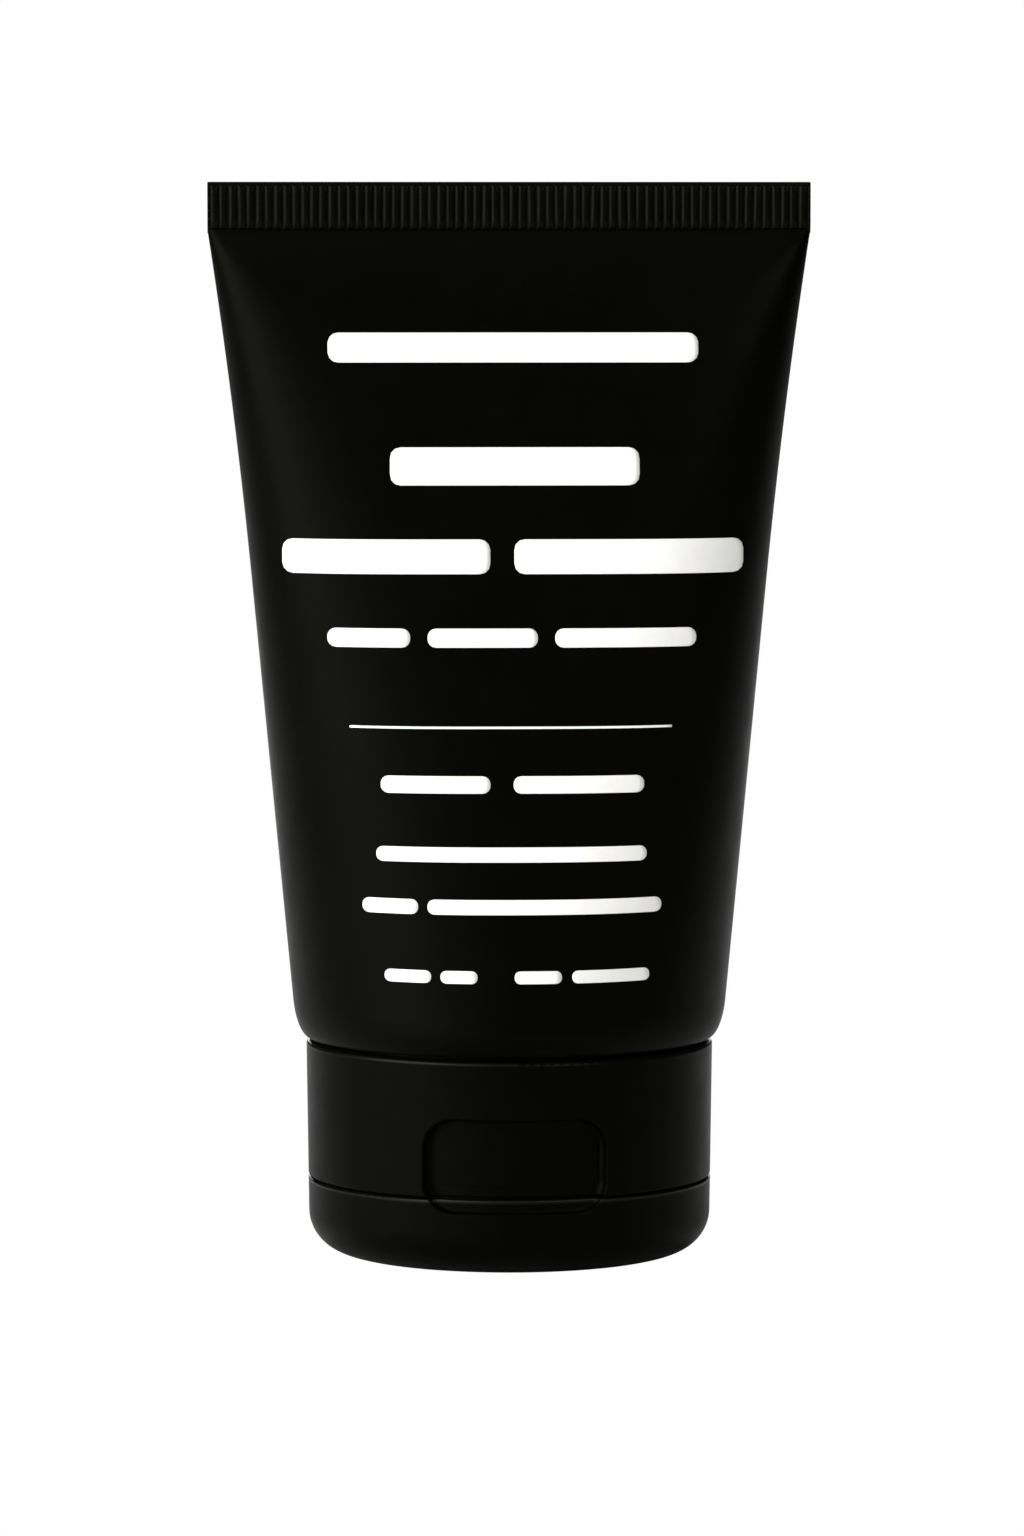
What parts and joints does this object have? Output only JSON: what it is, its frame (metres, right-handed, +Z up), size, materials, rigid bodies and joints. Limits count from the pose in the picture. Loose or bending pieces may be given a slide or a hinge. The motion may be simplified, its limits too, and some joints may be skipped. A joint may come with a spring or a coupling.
{
  "type": "squeeze tube with flip-top cap",
  "caption": "Soft plastic squeeze tube of lotion with a crimped tail, standing on a screw cap that has a flip lid on a living hinge.",
  "frame": {"origin": "centre of the foot, where the tube's axis meets the surface that it stands on", "axes": "+Z up along the tube's axis to the crimped tail, +X along the crimp, -Y the front with the thumb recess, +Y the back with the hinge"},
  "size_m": [0.0534, 0.0382, 0.095],
  "materials": {
    "sleeve": "matte black polyethylene",
    "shoulder": "moulded black polyethylene",
    "print": "off-white silk-screened ink",
    "lotion": "white lotion",
    "washer": "pale elastomer",
    "cap": "fine-textured black polypropylene",
    "lid": "fine-textured black polypropylene",
    "hinge": "thin flexed polypropylene"
  },
  "bodies": {
    "tube": {"tube_sleeve": "sleeve", "tube_shoulder": "shoulder", "lotion_fill": "lotion"},
    "washer": {"seal_washer": "washer"},
    "cap": {"cap_base": "cap", "hinge_film_left": "hinge", "hinge_film_right": "hinge", "snap_strap": "hinge"},
    "lid": {"cap_lid": "lid"}
  },
  "joints": [
    {"name": "cap_lift", "type": "slide", "parent": "tube", "child": "washer", "axis": [0, 0, -1], "range_m": [0, 0.0071]},
    {"name": "cap_turn", "type": "hinge", "parent": "washer", "child": "cap", "pos_m": [0, 0, 0.0094], "axis": [0, 0, -1], "range_deg": [0, 840]},
    {"name": "lid_hinge", "type": "hinge", "parent": "cap", "child": "lid", "pos_m": [0, 0.01645, 0.0068], "axis": [1, 0, 0], "range_deg": [0, 130], "deforming": ["hinge_film_left", "hinge_film_right", "snap_strap"]}
  ],
  "couplings": [
    {"joint": "cap_lift", "follows": "cap_turn", "m_per_rad": 0.00047746}
  ]
}
